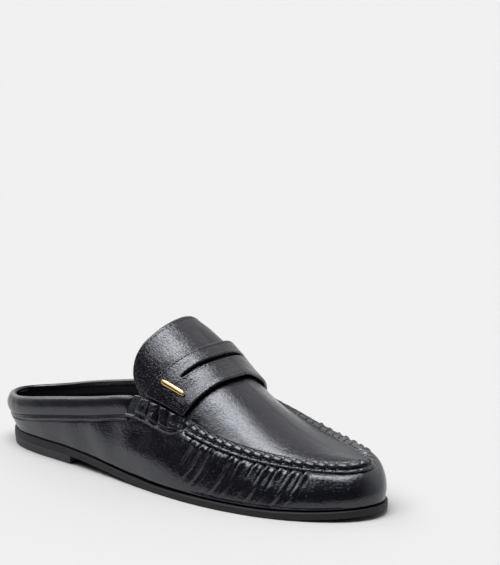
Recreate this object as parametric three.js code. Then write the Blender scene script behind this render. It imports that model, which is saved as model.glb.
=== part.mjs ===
// Loafer mule, right shoe, standing empty on its sole. Millimetres, Z up,
// X from the back of the heel to the toe, -Y the outer (lateral) side.
import * as THREE from "three";

// Main sizes of the shoe
const LENGTH = 254;          // outsole, heel back to toe
const SOLE_T = 3.8;          // outsole
const HEEL_H = 8.8;          // top of the outsole above the floor at the heel
const BREAST_X = 63.5;       // front face of the heel block
const ARCH = { from: 49.5, to: 141.5 };   // the sole comes down to the floor here
const SPRING = { from: 196.5, rise: 2.7 }; // lift of the toe
const WALL_T = 1.8;          // leather and lining of the upper
const TONGUE_T = 1.8;
const STRAP_T = 2.0;
const STRAP_LIFT = 0.6;      // of its underside off the apron and the tongue
const INSOLE_T = 2.6;
const INSOLE_INSET = 3.6;    // from the outsole's edge
const GAP = 0.3;             // between pieces that meet
const COLLAR_DROP = 10.0;    // height of the padded collar band
const COLLAR_END = 85.3;     // station where the band stops at its lower line, degrees
const COLLAR_LEAN = 1.7;     // how much further it runs at the rim
const SEAM_END = 104.2;      // station where the raised seam meets the tab
const SLOT_W = 1.7;          // slot in the strap
const PIN = { length: 17, width: 3.0, height: 1.8, u: 98.4, q: 1.25, turn: 4 };

// The last at stations 15 degrees apart, from the heel (0) to the toe (180).
// A station angle a stands for x = back + (front - back) * (1 - cos a) / 2.
// sole: edge of the outsole; edge: rim of the quarter, then the apron seam;
// crown: top line of the instep.
const REACH = { sole: [0, LENGTH], edge: [-3.9, 242.5], crown: [-2.5, 235.5] };
const LAST = [
  // soleLat soleMed edgeLat edgeMed edgeLatZ edgeMedZ crownY crownZ
  [0.0, 0.0, 0.0, 0.0, 25.6, 25.6, 0.0, 112],
  [-12.5, 13.0, -9.8, 10.0, 25.8, 25.6, 0.0, 112],
  [-22.3, 22.6, -19.0, 19.0, 27.0, 27.0, 0.0, 112],
  [-27.4, 27.4, -24.6, 23.8, 30.8, 31.0, 0.0, 112],
  [-30.4, 28.0, -27.0, 24.4, 35.8, 36.0, 3.0, 109],
  [-34.6, 28.2, -29.0, 26.2, 41.6, 42.0, 6.0, 99],
  [-40.0, 34.2, -30.0, 32.0, 46.2, 46.8, 6.5, 83],
  [-43.5, 40.3, -29.9, 34.6, 38.8, 40.2, 5.4, 64.0],
  [-41.9, 41.7, -27.2, 31.4, 31.8, 33.0, 4.4, 47.0],
  [-35.3, 36.9, -20.6, 26.2, 28.4, 29.2, 4.0, 35.8],
  [-24.1, 27.5, -11.8, 18.2, 27.3, 28.2, 4.0, 31.0],
  [-11.2, 15.2, -3.6, 11.4, 27.6, 28.0, 4.0, 29.6],
  [2.4, 2.4, 3.6, 3.6, 28.6, 28.6, 4.0, 29.4],
];
const COLUMN = { soleLat: 0, soleMed: 1, edgeLat: 2, edgeMed: 3, edgeLatZ: 4, edgeMedZ: 5, crownY: 6, crownZ: 7 };
const WALL = { lowUp: 0.42, lowOut: 2.6, topUp: 0.34, topOut: 4.2 };
const APRON = { rise: 0.5, run: 0.16, full: 0.62, flat: 0.46 };  // shoulders: full at the tongue, flat at the toe
// In front of the strap the inner flank falls more evenly, and the inner wall rolls in under the seam
const FLANK = { from: 95, span: 20, rise: 0.3, run: 0.3, full: 0.15 };
const SHOULDER = { from: 95, span: 25, toe: 35, out: 9, up: 0.05 };

// Edges over the instep: across (1 the outer seam, 2 the crown, 3 the inner seam), station in degrees
const TONGUE_EDGE = [
  [1.0, 88.0], [1.03, 87.4], [1.16, 84.2], [1.29, 83.5], [1.43, 84.5], [1.6, 86.5], [1.8, 88.0], [2.0, 88.5],
  [2.2, 88.0], [2.4, 86.5], [2.57, 84.5], [2.71, 83.5], [2.84, 84.2], [2.97, 87.4], [3.0, 88.0],
];
const STRAP_REAR = [
  [1.0, 90.4], [1.15, 91.6], [1.34, 94.0], [1.46, 95.2], [1.65, 97.0], [1.86, 98.5], [2.0, 98.9],
  [2.14, 98.5], [2.35, 97.0], [2.54, 95.2], [2.66, 94.0], [2.85, 91.6], [3.0, 90.4],
];
const STRAP_FRONT = [
  [1.0, 102.8], [1.07, 103.5], [1.36, 106.0], [1.61, 108.0], [1.86, 109.6], [2.0, 110.0],
  [2.14, 109.6], [2.39, 108.0], [2.64, 106.0], [2.93, 103.5], [3.0, 102.8],
];
const SLOT = { from: 1.44, to: 2.52, place: 0.385 };  // place between the strap's rear and front edges
const SPLIT = 0.68;          // under the strap, where the apron gives way to the tongue

// Cross sections: along the surface from the seam (d, minus is down the wall) and out from it (h)
const SEAM_SECTION = [
  [-6.2, 0.35], [-6.1, 1.4], [-5.0, 2.3], [-3.9, 2.1], [-2.9, 1.2], [-2.0, 2.0], [-0.8, 2.5], [0.5, 2.1], [1.2, 0.35],
  [0.2, 0.35], [-2.2, 0.35], [-4.2, 0.35],
];
// Collar: share of the band's height (t), out from the surface (h), lift straight up
const COLLAR_SECTION = [
  [0, 0.1, 0], [0.1, 0.7, 0], [0.4, 1.2, 0], [0.7, 1.2, 0], [0.9, 0.9, 0], [0.96, 0.2, 0.7], [0.96, -1.3, 1.2],
  [0.95, -2.8, 0.6], [0.84, -3.4, 0], [0.5, -3.2, 0], [0.15, -2.3, 0], [0, -1.7, 0],
];
const TAB = { rise: 1.2, clear: 0.2, height: 1.5, puckers: 5, pucker: 0.9 };  // clear: degrees to the collar, and to the seam
const TAB_DROP = [[0, 11.2], [0.3, 12.4], [0.55, 13.2], [0.75, 12.6], [0.9, 9.4], [1, 6.4]];  // lower edge below the rim
const TOE = 180;             // station of the toe, degrees

const RAD = Math.PI / 180;
const clamp = (x, a, b) => Math.min(b, Math.max(a, x));
const mix = (a, b, t) => a + (b - a) * t;
const soft = (t) => { const c = clamp(t, 0, 1); return c * c * (3 - 2 * c); };

// Smooth closed curve through equally spaced values round the last
function ring(lat, med) {
  const y = lat.concat(med.slice(1, -1).reverse());
  const n = y.length;
  const m = new Array(n).fill(0);
  for (let k = 0; k < 60; k++) {
    for (let i = 0; i < n; i++) {
      const a = (i + n - 1) % n;
      const b = (i + 1) % n;
      m[i] = (6 * (y[a] - 2 * y[i] + y[b]) - m[a] - m[b]) / 4;
    }
  }
  return (th) => {
    const t = (((th / (2 * Math.PI)) * n) % n + n) % n;
    const i = Math.floor(t) % n;
    const j = (i + 1) % n;
    const s = t - Math.floor(t);
    const a = 1 - s;
    return a * y[i] + s * y[j] + ((a ** 3 - a) * m[i] + (s ** 3 - s) * m[j]) / 6;
  };
}
const column = (name) => LAST.map((row) => row[COLUMN[name]]);
const soleY = ring(column("soleLat"), column("soleMed"));
const edgeY = ring(column("edgeLat"), column("edgeMed"));
const edgeZ = ring(column("edgeLatZ"), column("edgeMedZ"));
const crownY = ring(column("crownY"), column("crownY"));
const crownZ = ring(column("crownZ"), column("crownZ"));
const stationX = (reach, u) => reach[0] + (reach[1] - reach[0]) * (1 - Math.cos(u)) / 2;
const stationOf = (x) => Math.acos(clamp(1 - (2 * x) / LENGTH, -1, 1));

function soleTop(x) {
  const arch = soft((x - ARCH.from) / (ARCH.to - ARCH.from));
  const spring = Math.max(0, (x - SPRING.from) / (LENGTH - SPRING.from));
  return HEEL_H + (SOLE_T - HEEL_H) * arch + SPRING.rise * spring ** 2;
}

// Smooth curve through a short table of (across, value) rows
function along(rows, x) {
  let i = 0;
  while (i < rows.length - 2 && x > rows[i + 1][0]) i++;
  const slope = (k) => {
    const a = rows[Math.max(0, k - 1)];
    const b = rows[Math.min(rows.length - 1, k + 1)];
    return (b[1] - a[1]) / (b[0] - a[0]);
  };
  const h = rows[i + 1][0] - rows[i][0];
  const t = clamp((x - rows[i][0]) / h, 0, 1);
  const p = rows[i][1];
  const r = rows[i + 1][1];
  return (2 * t ** 3 - 3 * t ** 2 + 1) * p + (t ** 3 - 2 * t ** 2 + t) * h * slope(i)
    + (3 * t ** 2 - 2 * t ** 3) * r + (t ** 3 - t ** 2) * h * slope(i + 1);
}

function bezier(a, b, c, d, t) {
  const s = 1 - t;
  return [0, 1, 2].map((k) => s ** 3 * a[k] + 3 * s * s * t * b[k] + 3 * s * t * t * c[k] + t ** 3 * d[k]);
}

// Surface of the last: u the station, q across (0 outer sole edge, 1 outer seam, 2 crown, 3 inner seam, 4)
function last(u, q) {
  if (u < 0 || u > Math.PI) {
    u = u < 0 ? -u : 2 * Math.PI - u;
    q = 4 - q;
  }
  const th = q <= 2 ? u : 2 * Math.PI - u;
  const v = q <= 2 ? q : 4 - q;
  const inner = q > 2 ? 1 : 0;
  const deg = u / RAD;
  const xf = stationX([0.8, LENGTH - 0.8], u);
  const foot = [xf, soleY(th) * 0.98, soleTop(xf) + GAP];
  const seam = [stationX(REACH.edge, u), edgeY(th), edgeZ(th)];
  const top = [stationX(REACH.crown, u), crownY(th), crownZ(th)];
  if (v <= 1) {
    const e = 0.001;
    const dx = stationX(REACH.sole, th + e) - stationX(REACH.sole, th - e);
    const dy = soleY(th + e) - soleY(th - e);
    const n = Math.hypot(dx, dy);
    const out = [dy / n, -dx / n];
    const h = seam[2] - foot[2];
    const roll = inner * soft((deg - SHOULDER.from) / SHOULDER.span) * soft((TOE - deg) / SHOULDER.toe);
    const topOut = mix(WALL.topOut, SHOULDER.out, roll);
    const topUp = mix(WALL.topUp, SHOULDER.up, roll);
    const low = [foot[0] + out[0] * WALL.lowOut, foot[1] + out[1] * WALL.lowOut, foot[2] + h * WALL.lowUp];
    const high = [seam[0] + out[0] * topOut, seam[1] + out[1] * topOut, seam[2] - h * topUp];
    return bezier(foot, low, high, seam, v);
  }
  const even = inner * soft((deg - FLANK.from) / FLANK.span);
  const rise = (top[2] - seam[2]) * mix(APRON.rise, FLANK.rise, even);
  const run = mix(APRON.run, FLANK.run, even);
  const near = [mix(seam[0], top[0], run), mix(seam[1], top[1], run), seam[2] + rise];
  const crown = mix(mix(APRON.full, APRON.flat, soft((deg - 90) / 45)), FLANK.full, even);
  const far = [mix(top[0], seam[0], crown), mix(top[1], seam[1], crown), top[2]];
  return bezier(seam, near, far, top, v - 1);
}

function skin(u, q, out = 0) {
  const p = last(u, q);
  const e = 0.004;
  const w = 0.03;
  const a = last(u - e, q);
  const b = last(u + e, q);
  const c = last(u, Math.max(0, q - w));
  const d = last(u, Math.min(4, q + w));
  const du = [b[0] - a[0], b[1] - a[1], b[2] - a[2]];
  const dq = [d[0] - c[0], d[1] - c[1], d[2] - c[2]];
  const n = [dq[1] * du[2] - dq[2] * du[1], dq[2] * du[0] - dq[0] * du[2], dq[0] * du[1] - dq[1] * du[0]];
  const s = out / (Math.hypot(n[0], n[1], n[2]) || 1);
  return [p[0] - n[0] * s, p[1] - n[1] * s, p[2] - n[2] * s];
}

// Place across at a distance d along the section from the seam (minus is down the wall)
function fromSeam(u, side, d) {
  const dir = Math.sign(d);
  const step = 0.01;
  let v = 1;
  let left = Math.abs(d);
  let p = last(u, side > 0 ? 4 - v : v);
  while (left > 0 && v > step && v < 2) {
    const w = v + dir * step;
    const r = last(u, side > 0 ? 4 - w : w);
    const len = Math.hypot(r[0] - p[0], r[1] - p[1], r[2] - p[2]);
    v += dir * step * Math.min(1, left / len);
    left -= len;
    p = r;
  }
  return side > 0 ? 4 - v : v;
}

// A closed body from points, quads and triangles, turned to face out
function solid(name, points, faces) {
  const tris = [];
  for (const f of faces) {
    const c = f.filter((v, i) => v !== f[(i + 1) % f.length]);
    for (let i = 1; i + 1 < c.length; i++) tris.push([c[0], c[i], c[i + 1]]);
  }
  const good = tris.filter(([a, b, c]) => a !== b && b !== c && a !== c);
  let volume = 0;
  for (const [a, b, c] of good) {
    const [p, r, s] = [points[a], points[b], points[c]];
    volume += p[0] * (r[1] * s[2] - r[2] * s[1]) + p[1] * (r[2] * s[0] - r[0] * s[2]) + p[2] * (r[0] * s[1] - r[1] * s[0]);
  }
  const index = [];
  for (const [a, b, c] of good) index.push(...(volume > 0 ? [a, b, c] : [a, c, b]));
  const geometry = new THREE.BufferGeometry();
  geometry.setAttribute("position", new THREE.Float32BufferAttribute(points.flat(), 3));
  geometry.setIndex(index);
  geometry.computeVertexNormals();
  const mesh = new THREE.Mesh(geometry, MATERIAL[name]);
  mesh.name = name;
  return mesh;
}

// A sheet with a thickness: faces are quads of grid nodes (i, j), nodes that fall together are shared
function sheet(name, ni, nj, node, outer, inner, present) {
  const points = [];
  const id = new Map();
  const vertex = (i, j) => {
    const [a, b] = node(i, j);
    const key = a * 1000 + b;
    if (!id.has(key)) {
      id.set(key, points.length);
      points.push(outer(a, b), inner(a, b));
    }
    return id.get(key);
  };
  const faces = [];
  const edges = new Map();
  for (let i = 0; i < ni; i++) {
    for (let j = 0; j < nj; j++) {
      if (!present(i, j)) continue;
      const quad = [vertex(i, j), vertex(i + 1, j), vertex(i + 1, j + 1), vertex(i, j + 1)];
      faces.push(quad, quad.map((v) => v + 1).reverse());
      quad.forEach((a, k) => {
        const b = quad[(k + 1) % 4];
        if (a === b) return;
        const back = `${b},${a}`;
        if (edges.has(back)) edges.delete(back);
        else edges.set(`${a},${b}`, [a, b]);
      });
    }
  }
  for (const [a, b] of edges.values()) faces.push([b, a, a + 1, b + 1]);
  return solid(name, points, faces);
}

// A closed section carried along a path, with flat ends
function sweep(name, steps, section, place) {
  const points = [];
  const faces = [];
  const m = section.length;
  for (let i = 0; i <= steps; i++) section.forEach((row) => points.push(place(i / steps, row)));
  for (let i = 0; i < steps; i++) {
    for (let k = 0; k < m; k++) {
      const n = (k + 1) % m;
      faces.push([i * m + k, i * m + n, (i + 1) * m + n, (i + 1) * m + k]);
    }
  }
  const flat = section.map((row) => new THREE.Vector2(row[0], row[1]));
  const cap = THREE.ShapeUtils.triangulateShape(flat, []);
  const turn = THREE.ShapeUtils.area(flat) > 0 ? 1 : -1;
  for (const [a, b, c] of cap) {
    const one = turn > 0 ? [a, c, b] : [a, b, c];
    faces.push(one, [one[0], one[2], one[1]].map((v) => steps * m + v));
  }
  return solid(name, points, faces);
}

// A plate with the sole's outline: rows of (inset, height over the floor) round it from the top down
function plate(name, stations, rows, end) {
  const points = [];
  const faces = [];
  const loop = [];
  const n = stations.length - 1;
  for (let i = 0; i <= n; i++) loop.push([stations[i], -1]);
  for (let i = end ? n : n - 1; i > 0; i--) loop.push([stations[i], 1]);
  const m = loop.length;
  rows.forEach(([inset, height, front]) => {
    loop.forEach(([u, side]) => {
      const th = side < 0 ? u : 2 * Math.PI - u;
      const e = 0.001;
      const dx = stationX(REACH.sole, th + e) - stationX(REACH.sole, th - e);
      const dy = soleY(th + e) - soleY(th - e);
      const d = Math.hypot(dx, dy);
      let x = stationX(REACH.sole, th) - (dy / d) * inset;
      const y = soleY(th) + (dx / d) * inset;
      if (end) x = Math.min(x, BREAST_X - (front || 0));
      points.push([x, y, height(x)]);
    });
  });
  for (let r = 0; r + 1 < rows.length; r++) {
    for (let k = 0; k < m; k++) {
      const j = (k + 1) % m;
      faces.push([r * m + k, r * m + j, (r + 1) * m + j, (r + 1) * m + k]);
    }
  }
  const other = (i) => (i === 0 ? 0 : m - i);
  const low = (rows.length - 1) * m;
  for (let i = 0; i < n; i++) {
    const a = i;
    const b = i + 1;
    const c = !end && b === n ? b : other(b);
    faces.push([a, other(a), c, b]);
    faces.push([low + a, low + b, low + c, low + other(a)]);
  }
  return solid(name, points, faces);
}

const leather = (color) => new THREE.MeshStandardMaterial({ color, roughness: 0.38, metalness: 0 });
const MATERIAL = {
  outsole: new THREE.MeshStandardMaterial({ color: 0x26262a, roughness: 0.6, metalness: 0 }),
  heel: new THREE.MeshStandardMaterial({ color: 0x232327, roughness: 0.65, metalness: 0 }),
  insole: leather(0x17171a),
  upper: leather(0x1b1b20),
  collar: leather(0x1d1d22),
  tongue: leather(0x1b1b20),
  strap: leather(0x1c1c21),
  moc_seam: leather(0x19191d),
  side_tab_lateral: leather(0x19191d),
  side_tab_medial: leather(0x19191d),
  bar_pin: new THREE.MeshStandardMaterial({ color: 0xb98a4a, roughness: 0.3, metalness: 1 }),
};

// Sole unit
const spread = (n, a, b) => Array.from({ length: n + 1 }, (_, i) => mix(a, b, i / n));
const all = spread(54, 0, Math.PI);
const soleLow = (x) => soleTop(x) - SOLE_T;
const outsole = plate("outsole", all, [
  [0.7, (x) => soleTop(x)],
  [0, (x) => soleTop(x) - 0.6],
  [0, (x) => soleLow(x) + 0.7],
  [0.7, (x) => soleLow(x)],
], false);
const heel = plate("heel", spread(24, 0, stationOf(BREAST_X)), [
  [0.3, (x) => soleLow(x) - GAP, 0],
  [0.1, (x) => soleLow(x) - GAP - 0.5, 0],
  [0.5, () => 0.6, 0.3],
  [1.1, () => 0, 0.5],
], true);
const insole = plate("insole", all, [
  [INSOLE_INSET, (x) => soleTop(x) + GAP + INSOLE_T],
  [INSOLE_INSET - 0.6, (x) => soleTop(x) + GAP + INSOLE_T - 0.6],
  [INSOLE_INSET, (x) => soleTop(x) + GAP],
], false);

// Lower line of the collar band, as a place across at a station
function bandLow(u, side) {
  return fromSeam(u, side, -COLLAR_DROP);
}

// Upper: wall rows up to the collar seam, rows of the band, then the apron in front of the split
const STATIONS = 56;
const ROWS = { low: 4, band: 2, apron: 8 };
const HALF = ROWS.low + ROWS.band + ROWS.apron;
const splitAt = (q) => mix(along(STRAP_REAR, q), along(STRAP_FRONT, q), SPLIT);
const SPLIT_SEAM = splitAt(1);
const bandFrom = Math.round((COLLAR_END / 180) * STATIONS);
const splitFrom = Math.round((SPLIT_SEAM / 180) * STATIONS);
function baseAngle(i) {
  // stations fall exactly on the end of the collar and on the split
  const rows = [[0, 0], [bandFrom, COLLAR_END], [splitFrom, SPLIT_SEAM], [STATIONS, 180]];
  let k = 0;
  while (k < 2 && i > rows[k + 1][0]) k++;
  return mix(rows[k][1], rows[k + 1][1], (i - rows[k][0]) / (rows[k + 1][0] - rows[k][0]));
}
function upperPlace(i, j) {
  const side = j > HALF ? 1 : -1;
  const r = j > HALF ? 2 * HALF - j : j;
  const a = baseAngle(i);
  let u = a * RAD;
  const low = side > 0 ? 4 - bandLow(u, 1) : bandLow(u, -1);
  let v;
  if (r <= ROWS.low) v = (low * r) / ROWS.low;
  else if (r <= ROWS.low + ROWS.band) v = mix(low, 1, (r - ROWS.low) / ROWS.band);
  else v = 1 + (r - ROWS.low - ROWS.band) / ROWS.apron;
  const q = side > 0 ? 4 - v : v;
  if (v > 1 && i >= splitFrom) {
    const move = (splitAt(q) - SPLIT_SEAM) * (1 - (a - SPLIT_SEAM) / (180 - SPLIT_SEAM));
    u = (a + move) * RAD;
  } else if (r > ROWS.low && i >= bandFrom) {
    const t = Math.min(1, (r - ROWS.low) / ROWS.band);
    u = (a + COLLAR_LEAN * t * Math.max(0, 1 - (i - bandFrom) / (splitFrom - bandFrom))) * RAD;
  }
  return [u, q];
}
const fold = (i, j) => ((i === 0 || i === STATIONS) && j > HALF ? [i, 2 * HALF - j] : [i, j]);
const upper = sheet(
  "upper", STATIONS, 2 * HALF, fold,
  (i, j) => skin(...upperPlace(i, j)),
  (i, j) => skin(...upperPlace(i, j), -WALL_T),
  (i, j) => {
    const r = j >= HALF ? 2 * HALF - 1 - j : j;
    if (r < ROWS.low) return true;
    if (r < ROWS.low + ROWS.band) return i >= bandFrom;
    return i >= splitFrom;
  },
);

// Collar band round the heel
const collar = sweep("collar", 56, COLLAR_SECTION, (s, [t, h, lift]) => {
  const end = COLLAR_END - GAP + COLLAR_LEAN * t;
  const p = mix(-end, end, s);
  const side = p > 0 ? 1 : -1;
  const u = Math.abs(p) * RAD;
  const low = fromSeam(u, side, -COLLAR_DROP + GAP);
  const r = skin(u, mix(low, side > 0 ? 3 : 1, t), h);
  return [r[0], r[1], r[2] + lift];
});

// Tongue: from its rear edge to the split under the strap
const TONGUE_GRID = { along: 10, across: 24, clear: 0.7 };
function tonguePlace(i, j) {
  const s = i / TONGUE_GRID.along;
  const t = j / TONGUE_GRID.across;
  const q0 = mix(1, 3, t);
  const u0 = mix(along(TONGUE_EDGE, q0), splitAt(q0) - 0.35, s) * RAD;
  const from = fromSeam(u0, -1, TONGUE_GRID.clear);
  const to = fromSeam(u0, 1, TONGUE_GRID.clear);
  const q = mix(from, to, t);
  const u = mix(along(TONGUE_EDGE, q), splitAt(q) - 0.35, s) * RAD;
  return [u, q];
}
const same = (i, j) => [i, j];
const tongue = sheet(
  "tongue", TONGUE_GRID.along, TONGUE_GRID.across, same,
  (i, j) => skin(...tonguePlace(i, j)),
  (i, j) => skin(...tonguePlace(i, j), -TONGUE_T),
  () => true,
);

// Strap over the instep with its slot
const STRAP_ACROSS = [1.02, 1.1, 1.2, 1.32, SLOT.from, 1.56, 1.68, 1.8, 1.92, 2.04, 2.16, 2.28, 2.4, SLOT.to, 2.64, 2.76, 2.88, 2.98];
const STRAP_ROWS = [0, 0.19, "rear", "front", 0.7, 1];
function strapPlace(i, j) {
  const q0 = STRAP_ACROSS[j];
  const rear = along(STRAP_REAR, q0);
  const front = along(STRAP_FRONT, q0);
  const a = last(rear * RAD, q0);
  const b = last(front * RAD, q0);
  const width = Math.hypot(b[0] - a[0], b[1] - a[1], b[2] - a[2]);
  const half = SLOT_W / 2 / width;
  const row = STRAP_ROWS[i];
  const s = row === "rear" ? SLOT.place - half : row === "front" ? SLOT.place + half : row;
  const u = mix(rear, front, s) * RAD;
  const lo = fromSeam(u, -1, 1.7);
  const hi = fromSeam(u, 1, 1.7);
  return [u, clamp(q0, lo, hi)];
}
const strap = sheet(
  "strap", STRAP_ROWS.length - 1, STRAP_ACROSS.length - 1, same,
  (i, j) => skin(...strapPlace(i, j), STRAP_LIFT + STRAP_T),
  (i, j) => skin(...strapPlace(i, j), STRAP_LIFT),
  (i, j) => !(i === 2 && STRAP_ACROSS[j] >= SLOT.from && STRAP_ACROSS[j] < SLOT.to),
);

// Raised hand-sewn seam round the apron
const seam = sweep("moc_seam", 56, SEAM_SECTION, (s, [d, h]) => {
  const p = mix(SEAM_END - TOE, TOE - SEAM_END, s);
  const side = p > 0 ? 1 : -1;
  const u = (TOE - Math.abs(p)) * RAD;
  return skin(u, fromSeam(u, side, d), h);
});

// Puckered side tabs between the rim and the seam
function tab(name, side) {
  const n = 30;
  const section = [
    [0, 0.35], [0.02, 1.0], [0.16, 1.6], [0.4, 1.0], [0.62, 1.0], [0.84, 1.5], [0.98, 1.0], [1, 0.35], [0.9, 0.35], [0.5, 0.35], [0.25, 0.35],
  ];
  return sweep(name, n, section, (s, [t, h]) => {
    const d = mix(-along(TAB_DROP, s), TAB.rise, t);
    const rear = COLLAR_END - GAP + TAB.clear + COLLAR_LEAN * (1 + mix(-TAB_DROP[0][1], TAB.rise, t) / COLLAR_DROP);
    const u = mix(rear, SEAM_END - TAB.clear, s) * RAD;
    const wave = Math.abs(Math.sin(Math.PI * TAB.puckers * s)) ** 0.6;
    const k = h > 0.5 ? 0.35 + (h - 0.35) * TAB.height + TAB.pucker * (wave - 0.6) * soft(h) : h;
    return skin(u, fromSeam(u, side, d), k);
  });
}
const tabs = [tab("side_tab_lateral", -1), tab("side_tab_medial", 1)];

// Plain bar pin on the outer end of the strap
function pin() {
  const seat = STRAP_LIFT + STRAP_T + GAP;
  const o = skin(PIN.u * RAD, PIN.q, seat);
  const e = 0.01;
  const a = skin(PIN.u * RAD + e, PIN.q, seat);
  const b = skin(PIN.u * RAD, PIN.q + e, seat);
  const gu = new THREE.Vector3(a[0] - o[0], a[1] - o[1], a[2] - o[2]);
  const gq = new THREE.Vector3(b[0] - o[0], b[1] - o[1], b[2] - o[2]);
  const nu = gu.length() / e;
  const nq = gq.length() / e;
  const turn = PIN.turn * RAD;
  const rows = [];
  for (let i = 0; i <= 10; i++) {
    const x = -1 + i / 5;
    rows.push([(x * PIN.length) / 2, Math.sqrt(Math.max(0, 1 - Math.abs(x) ** 8))]);
  }
  const points = [];
  const faces = [];
  const ringSize = 8;
  rows.forEach(([s, k]) => {
    for (let j = 0; j < ringSize; j++) {
      const w = (j + 0.5) * 2 * Math.PI / ringSize;
      const kk = 0.25 + 0.75 * k;
      const t = Math.cos(w) * PIN.width * 0.54 * kk;
      const h = (Math.sin(w) * 0.54 + 0.5) * PIN.height * 1;
      const du = (s * Math.cos(turn) - t * Math.sin(turn)) / nu;
      const dq = (s * Math.sin(turn) + t * Math.cos(turn)) / nq;
      points.push(skin(PIN.u * RAD + du, PIN.q + dq, seat + Math.max(0, h)));
    }
  });
  const n = rows.length - 1;
  for (let i = 0; i < n; i++) {
    for (let j = 0; j < ringSize; j++) {
      const k = (j + 1) % ringSize;
      faces.push([i * ringSize + j, i * ringSize + k, (i + 1) * ringSize + k, (i + 1) * ringSize + j]);
    }
  }
  const cap = Array.from({ length: ringSize }, (_, j) => j);
  faces.push(cap.slice().reverse(), cap.map((j) => n * ringSize + j));
  return solid("bar_pin", points, faces);
}

const shoe = new THREE.Group();
shoe.name = "loafer_mule";
shoe.add(outsole, heel, insole, upper, collar, tongue, strap, seam, ...tabs, pin());

// Origin on the floor under the middle of the whole shoe
const box = new THREE.Box3().setFromObject(shoe);
const shift = new THREE.Vector3(-(box.min.x + box.max.x) / 2, -(box.min.y + box.max.y) / 2, -box.min.z);
shoe.traverse((part) => { if (part.isMesh) part.geometry.translate(shift.x, shift.y, shift.z); });

export default shoe;
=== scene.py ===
"""Loafer mule, right shoe, dressed for Blender over its CAD frame.
Surfaces are computed in the shoe's own millimetres: X from the heel's back to the toe,
-Y the outer side, Z up from the floor. They are moved into the frame as each mesh is made."""
import math

import bmesh
import bpy
import numpy as np
from mathutils import Matrix, Vector


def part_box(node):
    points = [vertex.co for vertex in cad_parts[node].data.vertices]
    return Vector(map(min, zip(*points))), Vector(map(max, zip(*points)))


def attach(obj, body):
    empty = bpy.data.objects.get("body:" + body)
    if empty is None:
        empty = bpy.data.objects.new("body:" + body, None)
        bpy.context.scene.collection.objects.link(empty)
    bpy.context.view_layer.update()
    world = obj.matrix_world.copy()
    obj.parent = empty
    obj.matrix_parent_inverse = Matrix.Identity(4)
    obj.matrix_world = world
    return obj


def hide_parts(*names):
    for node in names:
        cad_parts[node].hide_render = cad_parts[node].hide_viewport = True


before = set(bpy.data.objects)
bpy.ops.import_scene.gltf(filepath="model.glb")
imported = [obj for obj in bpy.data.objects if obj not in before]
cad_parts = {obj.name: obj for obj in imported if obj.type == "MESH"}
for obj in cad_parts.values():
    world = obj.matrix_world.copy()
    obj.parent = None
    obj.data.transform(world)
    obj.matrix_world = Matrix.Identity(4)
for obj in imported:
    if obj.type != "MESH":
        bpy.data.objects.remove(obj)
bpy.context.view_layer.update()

# Main sizes, as in the CAD
LENGTH = 254.0
SOLE_T = 3.8
HEEL_H = 8.8
BREAST_X = 63.5
ARCH = (49.5, 141.5)
SPRING = (196.5, 2.7)
WALL_T = 1.8
TONGUE_T = 1.8
STRAP_T = 2.0
STRAP_LIFT = 0.6
INSOLE_T = 2.6
INSOLE_INSET = 3.6
GAP = 0.3
COLLAR_DROP = 10.0
COLLAR_END = 85.3
COLLAR_LEAN = 1.7
SEAM_END = 104.2
PIN = dict(length=17.0, width=3.0, height=1.8, u=98.4, q=1.25, turn=4.0)
REACH = dict(sole=(0.0, LENGTH), edge=(-3.9, 242.5), crown=(-2.5, 235.5))

# The last at stations 15 degrees apart, from the heel to the toe:
# soleLat soleMed edgeLat edgeMed edgeLatZ edgeMedZ crownY crownZ
LAST = np.array([
    [0.0, 0.0, 0.0, 0.0, 25.6, 25.6, 0.0, 112],
    [-12.5, 13.0, -9.8, 10.0, 25.8, 25.6, 0.0, 112],
    [-22.3, 22.6, -19.0, 19.0, 27.0, 27.0, 0.0, 112],
    [-27.4, 27.4, -24.6, 23.8, 30.8, 31.0, 0.0, 112],
    [-30.4, 28.0, -27.0, 24.4, 35.8, 36.0, 3.0, 109],
    [-34.6, 28.2, -29.0, 26.2, 41.6, 42.0, 6.0, 99],
    [-40.0, 34.2, -30.0, 32.0, 46.2, 46.8, 6.5, 83],
    [-43.5, 40.3, -29.9, 34.6, 38.8, 40.2, 5.4, 64.0],
    [-41.9, 41.7, -27.2, 31.4, 31.8, 33.0, 4.4, 47.0],
    [-35.3, 36.9, -20.6, 26.2, 28.4, 29.2, 4.0, 35.8],
    [-24.1, 27.5, -11.8, 18.2, 27.3, 28.2, 4.0, 31.0],
    [-11.2, 15.2, -3.6, 11.4, 27.6, 28.0, 4.0, 29.6],
    [2.4, 2.4, 3.6, 3.6, 28.6, 28.6, 4.0, 29.4],
])
WALL = dict(low_up=0.42, low_out=2.6, top_up=0.34, top_out=4.2)
APRON = dict(rise=0.5, run=0.16, full=0.62, flat=0.46)
FLANK = dict(start=95, span=20, rise=0.3, run=0.3, full=0.15)
SHOULDER = dict(start=95, span=25, toe=35, out=9, up=0.05)

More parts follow.
